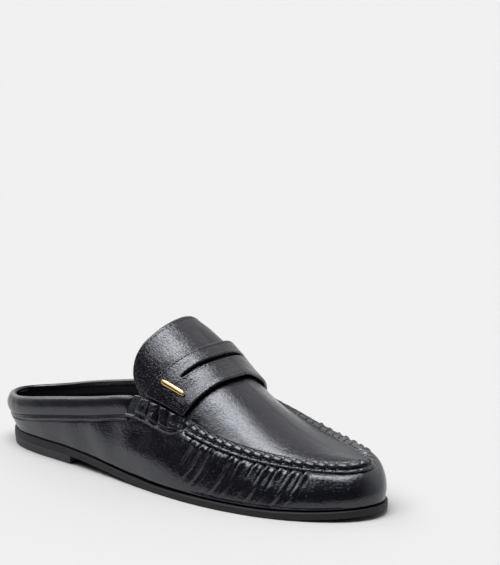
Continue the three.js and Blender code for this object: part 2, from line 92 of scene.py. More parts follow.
# Edges over the instep: across (1 outer seam, 2 crown, 3 inner seam) and station in degrees
TONGUE_EDGE = [
    (1.0, 88.0), (1.03, 87.4), (1.16, 84.2), (1.29, 83.5), (1.43, 84.5), (1.6, 86.5), (1.8, 88.0),
    (2.0, 88.5), (2.2, 88.0), (2.4, 86.5), (2.57, 84.5), (2.71, 83.5), (2.84, 84.2), (2.97, 87.4),
    (3.0, 88.0),
]
STRAP_REAR = [
    (1.0, 90.4), (1.15, 91.6), (1.34, 94.0), (1.46, 95.2), (1.65, 97.0), (1.86, 98.5), (2.0, 98.9),
    (2.14, 98.5), (2.35, 97.0), (2.54, 95.2), (2.66, 94.0), (2.85, 91.6), (3.0, 90.4),
]
STRAP_FRONT = [
    (1.0, 102.8), (1.07, 103.5), (1.36, 106.0), (1.61, 108.0), (1.86, 109.6), (2.0, 110.0),
    (2.14, 109.6), (2.39, 108.0), (2.64, 106.0), (2.93, 103.5), (3.0, 102.8),
]
SLOT = dict(start=1.40, end=2.52, place=0.385, half=1.3)
SPLIT = 0.68           # share of the strap's width where the tongue ends and the apron starts
SPLIT_GAP = 0.35       # degrees between the two
TAB = dict(rise=1.2, clear=0.2)
TAB_DROP = [(0, 11.2), (0.3, 12.4), (0.55, 13.2), (0.75, 12.6), (0.9, 9.4), (1, 6.4)]
STITCH_PITCH = 5.7     # hand stitches of the raised seam


def soft(t):
    c = np.clip(t, 0.0, 1.0)
    return c * c * (3 - 2 * c)


def mix(a, b, t):
    return a + (b - a) * t


def bell(x, width):
    return np.exp(-(x / width) ** 2)


def ring(lat, med):
    """Smooth closed curve through equally spaced values round the last."""
    y = np.concatenate([lat, med[1:-1][::-1]])
    n = len(y)
    system = 4 * np.eye(n) + np.roll(np.eye(n), 1, 0) + np.roll(np.eye(n), -1, 0)
    m = np.linalg.solve(system, 6 * (np.roll(y, 1) - 2 * y + np.roll(y, -1)))

    def value(th):
        t = np.mod(np.asarray(th, float) / (2 * np.pi) * n, n)
        i = np.floor(t).astype(int) % n
        s = t - np.floor(t)
        j = (i + 1) % n
        a = 1 - s
        return a * y[i] + s * y[j] + ((a ** 3 - a) * m[i] + (s ** 3 - s) * m[j]) / 6
    return value


sole_y = ring(LAST[:, 0], LAST[:, 1])
edge_y = ring(LAST[:, 2], LAST[:, 3])
edge_z = ring(LAST[:, 4], LAST[:, 5])
crown_y = ring(LAST[:, 6], LAST[:, 6])
crown_z = ring(LAST[:, 7], LAST[:, 7])


def station_x(reach, u):
    return reach[0] + (reach[1] - reach[0]) * (1 - np.cos(u)) / 2


def sole_top(x):
    arch = soft((x - ARCH[0]) / (ARCH[1] - ARCH[0]))
    spring = np.maximum(0, (x - SPRING[0]) / (LENGTH - SPRING[0]))
    return HEEL_H + (SOLE_T - HEEL_H) * arch + SPRING[1] * spring ** 2


def along(rows, x):
    """Smooth curve through a short table of (across, value) rows."""
    xs = np.array([r[0] for r in rows])
    ys = np.array([r[1] for r in rows], float)
    lo = np.maximum(np.arange(len(xs)) - 1, 0)
    hi = np.minimum(np.arange(len(xs)) + 1, len(xs) - 1)
    slope = (ys[hi] - ys[lo]) / (xs[hi] - xs[lo])
    x = np.asarray(x, float)
    i = np.clip(np.searchsorted(xs, x, side="left") - 1, 0, len(xs) - 2)
    h = xs[i + 1] - xs[i]
    t = np.clip((x - xs[i]) / h, 0, 1)
    return ((2 * t ** 3 - 3 * t ** 2 + 1) * ys[i] + (t ** 3 - 2 * t ** 2 + t) * h * slope[i]
            + (3 * t ** 2 - 2 * t ** 3) * ys[i + 1] + (t ** 3 - t ** 2) * h * slope[i + 1])


def bezier(a, b, c, d, t):
    s = 1 - t
    return s ** 3 * a + 3 * s * s * t * b + 3 * s * t * t * c + t ** 3 * d


def outward(th):
    """Direction in plan out of the sole's edge at a ring angle."""
    e = 0.001
    dx = station_x(REACH["sole"], th + e) - station_x(REACH["sole"], th - e)
    dy = sole_y(th + e) - sole_y(th - e)
    n = np.hypot(dx, dy)
    return dy / n, -dx / n


def last(u, q):
    """Surface of the last: u the station, q across (0 outer sole edge, 1 outer seam, 2 crown, 3, 4)."""
    u, q = np.broadcast_arrays(np.asarray(u, float), np.asarray(q, float))
    beyond = (u < 0) | (u > np.pi)
    u = np.where(u < 0, -u, np.where(u > np.pi, 2 * np.pi - u, u))
    q = np.where(beyond, 4 - q, q)
    th = np.where(q <= 2, u, 2 * np.pi - u)
    v = np.where(q <= 2, q, 4 - q)
    xf = station_x((0.8, LENGTH - 0.8), u)
    foot = np.stack([xf, sole_y(th) * 0.98, sole_top(xf) + GAP], -1)
    seam = np.stack([station_x(REACH["edge"], u), edge_y(th), edge_z(th)], -1)
    top = np.stack([station_x(REACH["crown"], u), crown_y(th), crown_z(th)], -1)
    out_x, out_y = outward(th)
    out = np.stack([out_x, out_y, 0 * out_x], -1)
    up = np.array([0.0, 0.0, 1.0])
    h = (seam - foot)[..., 2:]
    a = np.clip(v, 0, 1)[..., None]
    low = foot + out * WALL["low_out"] + up * h * WALL["low_up"]
    inner = q > 2
    deg = np.degrees(u)
    roll = inner * soft((deg - SHOULDER["start"]) / SHOULDER["span"]) * soft((180 - deg) / SHOULDER["toe"])
    roll = roll[..., None]
    high = (seam + out * mix(WALL["top_out"], SHOULDER["out"], roll)
            - up * h * mix(WALL["top_up"], SHOULDER["up"], roll))
    wall = bezier(foot, low, high, seam, a)
    b = np.clip(v - 1, 0, 1)[..., None]
    level = np.array([1.0, 1.0, 0.0])
    rise = (top - seam)[..., 2:] * up
    even = (inner * soft((deg - FLANK["start"]) / FLANK["span"]))[..., None]
    near = (seam + (top - seam) * level * mix(APRON["run"], FLANK["run"], even)
            + rise * mix(APRON["rise"], FLANK["rise"], even))
    full = mix(APRON["full"], APRON["flat"], soft((deg - 90) / 45))[..., None]
    full = mix(full, FLANK["full"], even)
    far = top + (seam - top) * level * full
    apron = bezier(seam, near, far, top, b)
    return np.where((v <= 1)[..., None], wall, apron)


def normal(u, q):
    e, w = 0.004, 0.03
    du = last(u + e, q) - last(u - e, q)
    dq = last(u, np.minimum(4, q + w)) - last(u, np.maximum(0, q - w))
    n = np.cross(du, dq)
    return n / (np.linalg.norm(n, axis=-1, keepdims=True) + 1e-12)


def skin(u, q, out=0.0):
    u, q, out = np.broadcast_arrays(np.asarray(u, float), np.asarray(q, float), np.asarray(out, float))
    return last(u, q) + normal(u, q) * out[..., None]


def lengths(points, axis=0):
    """Length along points on an axis, from zero at the first."""
    step = np.linalg.norm(np.diff(points, axis=axis), axis=-1)
    start = 0 * np.take(step, [0], axis=axis)
    return np.concatenate([start, np.cumsum(step, axis)], axis)


# Tables over the last: a row for each station, a column for each distance or place across
STATION_ROWS = 361
DISTANCE_STEP = 0.5
DISTANCES = np.arange(-60.0, 90.01, DISTANCE_STEP)
SEAM_COLUMN = 200      # columns from the sole's edge to the seam, and as many on to the crown


def arc_tables():
    """For each side, place across by distance from the seam, and distance by place across."""
    stations = np.linspace(0, np.pi, STATION_ROWS)
    places, runs = {}, {}
    for side in (-1, 1):
        v = np.linspace(0, 2, 2 * SEAM_COLUMN + 1)
        q = v if side < 0 else 4 - v
        run = lengths(last(stations[:, None], q[None, :]), 1)
        run = run - run[:, SEAM_COLUMN:SEAM_COLUMN + 1]
        places[side] = np.stack([np.interp(DISTANCES, row, v) for row in run])
        runs[side] = run
    return places, runs


PLACES, RUNS = arc_tables()


def bilinear(table, x, y):
    """Value of a table at fractional row x and column y."""
    x = np.clip(x, 0, table.shape[0] - 1.001)
    y = np.clip(y, 0, table.shape[1] - 1.001)
    i, j = np.floor(x).astype(int), np.floor(y).astype(int)
    a, b = x - i, y - j
    return ((1 - a) * (1 - b) * table[i, j] + a * (1 - b) * table[i + 1, j]
            + (1 - a) * b * table[i, j + 1] + a * b * table[i + 1, j + 1])


def from_seam(u, side, d):
    """Place across at a distance d along the section from the seam (minus is down the wall)."""
    u, side, d = np.broadcast_arrays(np.asarray(u, float), np.asarray(side), np.asarray(d, float))
    row = u / np.pi * (STATION_ROWS - 1)
    column = (d - DISTANCES[0]) / DISTANCE_STEP
    v = np.where(side < 0, bilinear(PLACES[-1], row, column), bilinear(PLACES[1], row, column))
    return np.where(side > 0, 4 - v, v)


def below_seam(u, side, v):
    """Distance from the seam at a share v up the wall, minus below it."""
    u, side, v = np.broadcast_arrays(np.asarray(u, float), np.asarray(side), np.asarray(v, float))
    row = u / np.pi * (STATION_ROWS - 1)
    column = v * SEAM_COLUMN
    return np.where(side < 0, bilinear(RUNS[-1], row, column), bilinear(RUNS[1], row, column))


# Length along the apron seam from the toe, minus on the outer side, as a function of the ring angle
RING = np.linspace(0, 2 * np.pi, 2881)


def seam_lengths():
    run = lengths(np.stack([station_x(REACH["edge"], RING), edge_y(RING), edge_z(RING)], -1))
    return run - np.interp(np.pi, RING, run)


SEAM_RUN = seam_lengths()


def seam_run(th):
    return np.interp(th, RING, SEAM_RUN)


def ring_at(s):
    return np.interp(s, SEAM_RUN, RING)


def on_ring(th):
    """Station and side of a ring angle."""
    return np.where(th <= np.pi, th, 2 * np.pi - th), np.where(th <= np.pi, -1, 1)


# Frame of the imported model, found from the outsole's box
low_corner = np.array(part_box("outsole")[0]) * 1000
sole_ring = np.linspace(0, np.pi, 55)
SHIFT = np.array([low_corner[0], low_corner[1] - sole_y(sole_ring).min(), 0.0])


def place(points):
    return (np.asarray(points, float).reshape(-1, 3) + SHIFT) / 1000


# Mesh making
def grid(ni, nj, wrap=False):
    """Quads of a grid of ni by nj points, closed round i when wrap is true."""
    i = np.arange(ni if wrap else ni - 1)
    j = np.arange(nj - 1)
    i, j = np.meshgrid(i, j, indexing="ij")
    k = (i + 1) % ni
    return np.stack([i * nj + j, k * nj + j, k * nj + j + 1, i * nj + j + 1], -1).reshape(-1, 4)


def tube(ni, nj):
    """Quads of ni rings of nj points each, with end faces."""
    i, j = np.meshgrid(np.arange(ni - 1), np.arange(nj), indexing="ij")
    k = (j + 1) % nj
    quads = np.stack([i * nj + j, i * nj + k, (i + 1) * nj + k, (i + 1) * nj + j], -1)
    faces = quads.reshape(-1, 4).tolist()
    faces.append(list(range(nj))[::-1])
    faces.append(list(range((ni - 1) * nj, ni * nj)))
    return faces


def mesh_piece(name, points, faces, material, nodes=(), sharp=0, weld=0.0):
    """A smooth-shaded object from points in millimetres, riding on the body and standing for nodes."""
    mesh = bpy.data.meshes.new(name)
    faces = faces.tolist() if isinstance(faces, np.ndarray) else faces
    mesh.from_pydata(place(points).tolist(), [], faces)
    mesh.validate()
    obj = bpy.data.objects.new(name, mesh)
    bpy.context.scene.collection.objects.link(obj)
    if weld:
        bm = bmesh.new()
        bm.from_mesh(mesh)
        bmesh.ops.remove_doubles(bm, verts=bm.verts, dist=weld / 1000)
        bm.to_mesh(mesh)
        bm.free()
    mesh.polygons.foreach_set("use_smooth", [True] * len(mesh.polygons))
    if sharp:
        mesh.set_sharp_from_angle(angle=math.radians(sharp))
    mesh.materials.append(material)
    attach(obj, "root")
    if nodes:
        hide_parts(*nodes)
    return obj


def joined(parts):
    """Points and faces of several meshes as one."""
    points, faces, start = [], [], 0
    for p, f in parts:
        p = np.asarray(p, float).reshape(-1, 3)
        points.append(p)
        f = f.tolist() if isinstance(f, np.ndarray) else f
        faces.extend([[v + start for v in face] for face in f])
        start += len(p)
    return np.concatenate(points), faces


def ripple(s, t, seed, size):
    """Gentle random swell with features of about the given size."""
    rng = np.random.default_rng(seed)
    total = np.zeros(np.broadcast(s, t).shape)
    count = 14
    for _ in range(count):
        angle = rng.uniform(0, 2 * np.pi)
        wave = 2 * np.pi / (size * rng.uniform(0.7, 1.6))
        phase = rng.uniform(0, 2 * np.pi)
        total = total + np.sin((s * math.cos(angle) + t * math.sin(angle)) * wave + phase)
    return total / math.sqrt(count)


# Materials
def build_material(name):
    material = bpy.data.materials.new(name)
    material.use_nodes = True
    tree = material.node_tree
    shader = tree.nodes["Principled BSDF"]
    coords = tree.nodes.new("ShaderNodeTexCoord").outputs["Object"]
    return material, tree, shader, coords


def feed(tree, node, values):
    """Sets a node's inputs by name. An output of another node is linked."""
    for name, value in values.items():
        if isinstance(value, bpy.types.NodeSocket):
            tree.links.new(value, node.inputs[name])
        else:
            node.inputs[name].default_value = value


def new_node(tree, kind, values):
    node = tree.nodes.new(kind)
    feed(tree, node, values)
    return node


def noise(tree, coords, scale, detail=3.0, rough=0.55, distortion=0.0):
    values = {"Vector": coords, "Scale": scale, "Detail": detail}
    values |= {"Roughness": rough, "Distortion": distortion}
    return new_node(tree, "ShaderNodeTexNoise", values).outputs["Fac"]


def pores(tree, coords, scale):
    node = new_node(tree, "ShaderNodeTexVoronoi", {"Vector": coords, "Scale": scale})
    node.feature = "DISTANCE_TO_EDGE"
    return node.outputs["Distance"]


def blend_colour(tree, factor, dark, light):
    node = new_node(tree, "ShaderNodeValToRGB", {"Fac": factor})
    for element, position, colour in zip(node.color_ramp.elements, (0.3, 0.7), (dark, light)):
        element.position = position
        element.color = (*colour, 1)
    return node.outputs["Color"]


def stretched(tree, coords, scale):
    return new_node(tree, "ShaderNodeMapping", {"Vector": coords, "Scale": scale}).outputs["Vector"]


def spread_value(tree, factor, lo, hi, start=0.3, end=0.7):
    values = {"Value": factor, "From Min": start, "From Max": end, "To Min": lo, "To Max": hi}
    return new_node(tree, "ShaderNodeMapRange", values).outputs["Result"]


def bump(tree, height, distance, strength=1.0, below=None):
    values = {"Height": height, "Distance": distance, "Strength": strength}
    if below is not None:
        values["Normal"] = below
    return new_node(tree, "ShaderNodeBump", values).outputs["Normal"]


def leather(name, dark, light, gloss, grain=1.0, crinkle=1.0, shine=0.8):
    """Glazed calf: fine pores, a net of small crinkles, a waxed finish whose gloss varies."""
    material, tree, shader, coords = build_material(name)
    soft_folds = bump(tree, noise(tree, coords, 110, 2, 0.5, 0.4), 0.0012 * crinkle, 0.25)
    fine_folds = bump(tree, noise(tree, coords, 850, 1.6, 0.5, 0.8), 0.00018 * crinkle, 1.0, soft_folds)
    feed(tree, shader, {
        "Base Color": blend_colour(tree, noise(tree, coords, 60, 4), dark, light),
        "Roughness": spread_value(tree, noise(tree, coords, 420, 5, 0.65), *gloss),
        "Specular Tint": (0.91, 0.93, 1.0, 1),
        "Specular IOR Level": shine,
        "Normal": bump(tree, pores(tree, coords, 1400), 0.00006 * grain, 1.0, fine_folds),
    })
    return material


def sole_edge(name, dark, light, rough):
    """Dressed sole edge: matt, with fine lines round the shoe and faint scuffs."""
    material, tree, shader, coords = build_material(name)
    scuff = noise(tree, coords, 220, 6, 0.7)
    lines = bump(tree, noise(tree, stretched(tree, coords, (1.0, 1.0, 14.0)), 120, 3), 0.00025, 0.4)
    feed(tree, shader, {
        "Base Color": blend_colour(tree, scuff, dark, light),
        "Roughness": spread_value(tree, scuff, *rough),
        "Specular IOR Level": 0.3,
        "Normal": bump(tree, noise(tree, coords, 1400, 3), 0.00008, 0.6, lines),
    })
    return material


def metal(name, dark, light, rough):
    """Brushed metal with a faint haze."""
    material, tree, shader, coords = build_material(name)
    haze = noise(tree, coords, 300, 4)
    brushed = noise(tree, stretched(tree, coords, (0.2, 3.0, 3.0)), 1800, 2)
    feed(tree, shader, {
        "Base Color": blend_colour(tree, haze, dark, light),
        "Roughness": spread_value(tree, haze, *rough),
        "Metallic": 1.0,
        "Normal": bump(tree, brushed, 0.00002, 0.4),
    })
    return material


def thread_material(name, dark, light):
    """Waxed thread with its twist."""
    material, tree, shader, coords = build_material(name)
    wave = new_node(tree, "ShaderNodeTexWave", {"Vector": coords, "Scale": 900, "Distortion": 2.0})
    wave.bands_direction = "DIAGONAL"
    twist = wave.outputs["Fac"]
    feed(tree, shader, {
        "Base Color": blend_colour(tree, twist, dark, light),
        "Roughness": 0.5,
        "Normal": bump(tree, twist, 0.00006, 0.6),
    })
    return material


BLACK = (0.0023, 0.0023, 0.0050)
BLACK_SOFT = (0.0044, 0.0044, 0.0092)
BLACK_WARM = (0.0060, 0.0052, 0.0075)
UPPER = leather("upper_calf", BLACK, BLACK_SOFT, (0.13, 0.22))
CROWN = leather("tongue_calf", BLACK, BLACK_WARM, (0.13, 0.22), 1.1, 1.4)
BAND = leather("collar_calf", BLACK, BLACK_SOFT, (0.13, 0.21), 0.9, 0.6)
PUCKERED = leather("tab_calf", BLACK, BLACK_SOFT, (0.20, 0.30), 1.0, 1.2)
SEAM = leather("seam_calf", BLACK, BLACK_SOFT, (0.18, 0.28), 0.8, 1.0)
LINING = leather("lining_leather", (0.006, 0.0058, 0.006), (0.012, 0.0115, 0.012), (0.55, 0.7), 0.8, 0.5, 0.4)
SOCK = leather("sock_leather", (0.008, 0.0078, 0.008), (0.016, 0.0155, 0.016), (0.45, 0.6), 0.9, 0.5, 0.45)
# Sole edge and heel lift are one black wall in two tones: the sole edge colour is black darkened further to
# paint the shade on the front of the sole, and the heel lift colour is lighter to paint the light falling on
# the heel.
SOLE_EDGE_WITH_PAINTED_SHADE = sole_edge("sole_edge", (0.015, 0.015, 0.017), (0.024, 0.024, 0.027), (0.5, 0.68))
HEEL_LIFT_WITH_PAINTED_LIGHT = sole_edge("heel_lift_painted_light", (0.040, 0.040, 0.045), (0.054, 0.054, 0.060), (0.52, 0.7))
GOLD = metal("gold_tone", (0.62, 0.40, 0.17), (0.78, 0.54, 0.26), (0.18, 0.3))
THREAD = thread_material("waxed_thread", (0.003, 0.003, 0.004), (0.012, 0.012, 0.014))


# Upper: the wall with its gathers, and the apron in front of the split
RIDGE_FOOT = 5.8       # the raised seam covers the wall down to here

# Gathers under the raised seam, listed one by one:
# run from the toe, height, reach down the wall, width, height of the long fold that goes on below
CREASES = [
    (30.4, 1.0, 6.0, 6.2, 0.20), (37.0, 0.9, 5.5, 6.6, 0.48), (44.0, 1.0, 6.5, 7.0, 0.12),
    (51.0, 1.1, 6.0, 6.9, 0.52), (56.8, 0.9, 5.5, 5.6, 0.08), (64.8, 0.9, 7.0, 7.8, 0.32),
    (71.4, 1.2, 7.5, 6.4, 0.72), (76.0, 0.5, 5.0, 4.4, 0.08), (80.4, 0.6, 5.0, 4.2, 0.16),
    (84.6, 1.0, 6.0, 5.0, 0.68), (90.2, 0.9, 6.5, 5.8, 0.60), (96.5, 0.9, 7.0, 6.4, 0.72),
    (102.0, 0.5, 7.0, 5.4, 0.24),
]
# Section of a gather in shares of its width; it leans to the rear on its way down
FOLD = dict(height=1.2, rise=0.16, fall=0.50, crease=1.5, pinch=0.15, lean=0.32, curl=0.011)
LONG_FOLD = dict(start=3, blend=5, reach=25, at=0.1, width=0.15)
TROUGH = dict(depth=0.6, at=0.42, width=0.22)      # beside each long fold
# Fine teeth pressed into the toe by the seam
COMB = dict(start=9, end=34, fade=12, height=0.08, depth=6.0, pitch=2.3, fine_pitch=1.37)
PUCKER = dict(height=0.04, size=2.6, depth=9)
UNDERCUT = 1.1         # the wall turns in under the raised seam

# Fullness of the wall from the raised seam down: depth, height
BELOW_SEAM = [
    (-1.5, 0), (0, 1.3), (2, 2.1), (3.5, 2.35), (5, 2.2), (8, 1.35), (12, 0.15), (16, -0.95), (20, -1.6),
    (24, -1.65), (30, -1.4),
]
# Broad forms: height, station in degrees and its spread, distance from the seam and its spread
WALL_FORMS = [
    (-0.7, 88.5, 6.5, -19.0, 6.0),     # hollow behind the gathers
    (0.5, 89.0, 7.5, -31.0, 7.0),      # swell under it
]
SWELL = dict(rear=0.32, front=0.12, size=26)
# Folded line under the collar: height, depth below the collar, spread
COLLAR_LINE = [(0.35, 1.5, 0.7), (-0.18, 2.9, 0.5)]
# Groove over the sole: share up the wall, depth
GROOVE = np.array([(0, 1.6), (0.003, 1.45), (0.009, 1.3), (0.017, 0.85), (0.025, 0.35)])


def centre_fade(a):
    """Share of the gathering at a distance from the toe."""
    return 0.2 + 0.8 * soft((a - 24) / 14)


def gathers(s, depth):
    """Height of the gathered leather at a run s from the toe and a depth below the ridge."""
    a = np.abs(s)
    deep = np.maximum(depth, 0)
    lean = FOLD["lean"] * deep + FOLD["curl"] * deep ** 2
    low = soft((deep - LONG_FOLD["start"]) / LONG_FOLD["blend"]) * np.exp(-(deep / LONG_FOLD["reach"]) ** 4)
    h = np.zeros(np.broadcast(s, depth).shape)
    for centre, height, reach, width, long_fold in CREASES:
        x = (centre + lean - a) / width
        crest = soft(x / FOLD["rise"] + 0.3) * (1 - soft((x - 0.12) / FOLD["fall"]))
        crest = crest * np.exp(-(deep / reach) ** 3)
        crease = bell(x + 0.03, FOLD["pinch"]) * np.exp(-(deep / (1.5 * reach)) ** 2)
        h = h + height * (FOLD["height"] * crest - FOLD["crease"] * crease)
        trough = TROUGH["depth"] * bell(x - TROUGH["at"], TROUGH["width"])
        h = h + long_fold * low * (bell(x - LONG_FOLD["at"], LONG_FOLD["width"]) - trough)
    comb = soft((COMB["end"] + COMB["fade"] - a) / COMB["fade"]) * soft((a - COMB["start"]) / COMB["fade"])
    teeth = np.sin(2 * np.pi * (a - 0.18 * depth) / COMB["pitch"] + 0.9 * np.sin(a * 0.7))
    teeth = teeth + 0.5 * np.sin(2 * np.pi * (a - 0.1 * depth) / COMB["fine_pitch"])
    h = h + COMB["height"] * comb * np.exp(-(deep / COMB["depth"]) ** 2) * teeth
    pucker = PUCKER["height"] * ripple(s, depth * 1.4, 5, PUCKER["size"])
    h = h + pucker * np.exp(-(deep / PUCKER["depth"]) ** 2) * centre_fade(a)
    return h * soft((depth + 1.3) / 1.5) - UNDERCUT * bell(depth, 0.8) * centre_fade(a)


def wall_height(th, d):
    """Relief of the wall at a ring angle and a distance d from the seam, minus below it."""
    s = seam_run(th)
    deg = np.degrees(on_ring(th)[0])
    depth = -d - RIDGE_FOOT
    h = gathers(s, depth) * soft((deg - SEAM_END + 1.5) / 3)
    for height, station, wide, distance, tall in WALL_FORMS:
        h = h + height * bell(deg - station, wide) * bell(d - distance, tall)
    full = mix(0.35, 1.0, soft(np.abs(s) / 24)) * soft((deg - 98) / 12)
    h = h + along(BELOW_SEAM, depth) * full
    swell = mix(SWELL["rear"], SWELL["front"], soft((deg - 84) / 14))
    h = h + swell * ripple(s, d, 3, SWELL["size"]) * soft((-d - 6) / 8)
    under_collar = bell(np.maximum(0, deg - COLLAR_END), 2.0)
    below = -d - COLLAR_DROP
    for height, at, spread in COLLAR_LINE:
        h = h + under_collar * height * bell(below - at, spread)
    return h + under_collar * 0.06 * np.sin(s * 2 * np.pi / 1.9) * bell(below - 3.8, 1.2)


def wall_top(u, side, drop):
    """Share up the wall where it ends: under the collar at the rear, at the seam in front."""
    low = np.where(side < 0, from_seam(u, -1, -drop), 4 - from_seam(u, 1, -drop))
    return mix(low, 1.0, soft((np.degrees(u) - COLLAR_END + 0.7) / 1.6))


def split_station(q):
    """Station in degrees of the split under the strap."""
    return mix(along(STRAP_REAR, q), along(STRAP_FRONT, q), SPLIT)


def apron_grid(count):
    """Stations and places across of the apron, from the split to the toe."""
    q = np.linspace(1.0, 3.0, count)
    u = np.radians(mix(split_station(q)[None, :], 180.0, np.linspace(0, 1, count)[:, None]))
    return u, np.broadcast_to(q, u.shape)


def upper_piece():
    front = math.radians(100)
    loop = np.concatenate([
        np.linspace(0, front, 190, endpoint=False),
        np.linspace(front, 2 * np.pi - front, 800, endpoint=False),
        np.linspace(2 * np.pi - front, 2 * np.pi, 190, endpoint=False),
    ])
    u, side = on_ring(loop)
    share = np.concatenate([GROOVE[:, 0], np.linspace(0.036, 0.985, 56) ** 0.97, [1.0, 1.0]])
    inset = np.zeros(len(share))
    inset[:len(GROOVE)] = GROOVE[:, 1]
    inset[len(GROOVE)] = 0.05
    inset[-1] = 1.0
    v = share[None, :] * wall_top(u, side, COLLAR_DROP)[:, None]
    q = np.where(side[:, None] < 0, v, 4 - v)
    d = below_seam(u[:, None], side[:, None], v)
    h = wall_height(loop[:, None], d) * soft(share[None, :] / 0.06) - inset[None, :]
    wall = (skin(u[:, None], q, h), grid(len(loop), len(share), wrap=True))

    count = 150
    u, q = apron_grid(count)
    p = last(u, q)
    rim = bell(np.abs(q - 2) - 1.0, 0.05)
    swell = 0.10 * ripple(p[..., 0], p[..., 1], 11, 30) * (1 - rim)
    points, faces = joined([wall, (skin(u, q, swell), grid(count, count))])
    return mesh_piece("upper_shell", points, faces, UPPER, ("upper",))


def lining_piece():
    loop = np.linspace(0, 2 * np.pi, 300, endpoint=False)
    u, side = on_ring(loop)
    share = np.linspace(0.02, 1, 22)
    v = share[None, :] * wall_top(u, side, COLLAR_DROP + 0.4)[:, None]
    q = np.where(side[:, None] < 0, v, 4 - v)
    # behind the hollows of the gathered front the lining stands further in
    slack = 0.5 * soft((np.degrees(u)[:, None] - 92) / 8) * soft((1 - share[None, :]) / 0.15)
    wall = (skin(u[:, None], q, -WALL_T - slack), grid(len(loop), len(share), wrap=True)[:, ::-1])
    count = 60
    u, q = apron_grid(count)
    roof = (skin(u, q, -WALL_T), grid(count, count)[:, ::-1])
    points, faces = joined([wall, roof])
    return mesh_piece("vamp_lining", points, faces, LINING, ("upper",))


# Collar: padded band round the heel
def closed_curve(rows, count):
    """Smooth closed curve through rows, by its length."""
    rows = np.asarray(rows, float)
    n = len(rows)
    t = np.arange(count * 4) / (count * 4) * n
    i = np.floor(t).astype(int)
    s = (t - i)[:, None]
    p0, p1, p2, p3 = rows[(i - 1) % n], rows[i % n], rows[(i + 1) % n], rows[(i + 2) % n]
    c = 0.5 * (2 * p1 + (p2 - p0) * s + (2 * p0 - 5 * p1 + 4 * p2 - p3) * s ** 2
               + (3 * p1 - p0 - 3 * p2 + p3) * s ** 3)
    return c[::4]


# Section of the collar: share up the band, height off the last, lift
COLLAR_SECTION = [
    (0.0, -0.6, 0), (0.03, 0.05, 0), (0.12, 0.5, 0), (0.25, 0.92, 0), (0.4, 1.25, 0), (0.55, 1.42, 0),
    (0.7, 1.45, 0), (0.82, 1.38, 0), (0.9, 1.12, 0.05), (0.955, 0.62, 0.35), (0.985, -0.1, 0.75),
    (0.975, -1.2, 1.0), (0.95, -2.5, 0.8), (0.88, -3.3, 0.1), (0.7, -3.5, 0), (0.45, -3.3, 0),
    (0.2, -2.6, 0), (0.03, -1.9, 0),
]
COLLAR_RUN = 420       # scale of the run along the band, for its swell and pinches
COLLAR_TUCK = 2.4      # degrees that it goes on under the tabs


def collar_piece():
    section = closed_curve(COLLAR_SECTION, 72)
    t, h, lift = section[:, 0], section[:, 1], section[:, 2]
    n = 440
    p = np.linspace(-1, 1, n)[:, None] * (COLLAR_END + COLLAR_TUCK + COLLAR_LEAN * t)[None, :]
    side = np.where(p > 0, 1, -1)
    u = np.radians(np.abs(p))
    low = from_seam(u, side, -COLLAR_DROP + 0.1)
    q = mix(low, np.where(side > 0, 3.0, 1.0), t[None, :])
    run = (p / 180 + 0.5) * COLLAR_RUN
    fade = soft((np.abs(p) - COLLAR_END + 1.0) / 2.0)
    outer = soft(h / 1.2)[None, :]
    swell = 0.05 * ripple(run, t[None, :] * COLLAR_DROP, 5, 16) * outer
    pinch = 0.05 * np.sin(run * 2 * np.pi / 2.6) * bell(t - 0.1, 0.1)[None, :] * outer
    flat = mix(1.0, 0.35, fade)
    out = h[None, :] * np.where(h[None, :] > 0, flat, 1.0) + swell + pinch
    points = skin(u, q, out)
    points[..., 2] += lift[None, :] * (1 - 0.6 * fade)
    piece = mesh_piece("padded_collar", points, tube(n, len(t)), BAND, ("collar",))
    return piece


# Tongue and strap: sheets with rounded edges over the instep
def rounded(distance, thickness, radius):
    """Half thickness of a folded edge at a distance from it."""
    x = np.clip(distance / radius, 0, 1)
    return thickness / 2 * (1 - (1 - x) ** 2.4) ** (1 / 2.4)


def edge_steps(width, count, radius=0.9):
    """Places across a strip: close together within the radius of each edge."""
    near = radius * (1 - np.cos(np.linspace(0, np.pi / 2, 7)))
    middle = np.linspace(radius, width - radius, count)[1:-1]
    return np.concatenate([near, middle, (width - near)[::-1]])


def sheet(u, q, low, high):
    """Underside and top of a sheet between two heights."""
    faces = grid(*u.shape)
    return [(skin(u, q, high), faces), (skin(u, q, low), faces[:, ::-1])]


TONGUE_RUN = 34.0      # from the free edge to the split
TONGUE_STITCH = 2.1    # the sewn line inside the free edge
STRAP_STITCH = 1.8
STRAP_EDGE = 0.9       # radius of the strap's folded edges


def tongue_turn(back):
    """How far the tongue turns in at a distance from its rear edge."""
    return 0.6 * np.clip(1 - back / 12, 0, 1) ** 2


def tongue_stations(q, share):
    """Stations from the tongue's edge to the split, by share of the way."""
    return np.radians(mix(along(TONGUE_EDGE, q), split_station(q) - SPLIT_GAP, share))


def tongue_piece():
    t = edge_steps(1.0, 200, 0.012)[None, :]
    share = (edge_steps(TONGUE_RUN, 90, TONGUE_T / 2) / TONGUE_RUN)[:, None]
    u = tongue_stations(mix(1.0, 3.0, t), share)
    q = mix(from_seam(u, -1, 0.7), from_seam(u, 1, 0.7), t)
    u = tongue_stations(q, share)
    p = skin(u, q)
    cross, back = lengths(p, 1), lengths(p, 0)
    half = np.minimum(rounded(np.minimum(cross, cross[:, -1:] - cross), TONGUE_T, TONGUE_T / 2),
                      rounded(np.minimum(back, back[-1:] - back), TONGUE_T, TONGUE_T / 2))
    groove = 0.10 * bell(back - TONGUE_STITCH, 0.45)
    swell = 0.12 * ripple(cross, back, 21, 20) * soft(back / 6) - tongue_turn(back)
    middle = swell - TONGUE_T / 2
    half = half - groove / 2
    points, faces = joined(sheet(u, q, middle - half, middle + half))
    return mesh_piece("tongue_flap", points, faces, CROWN, ("tongue",), weld=0.01)


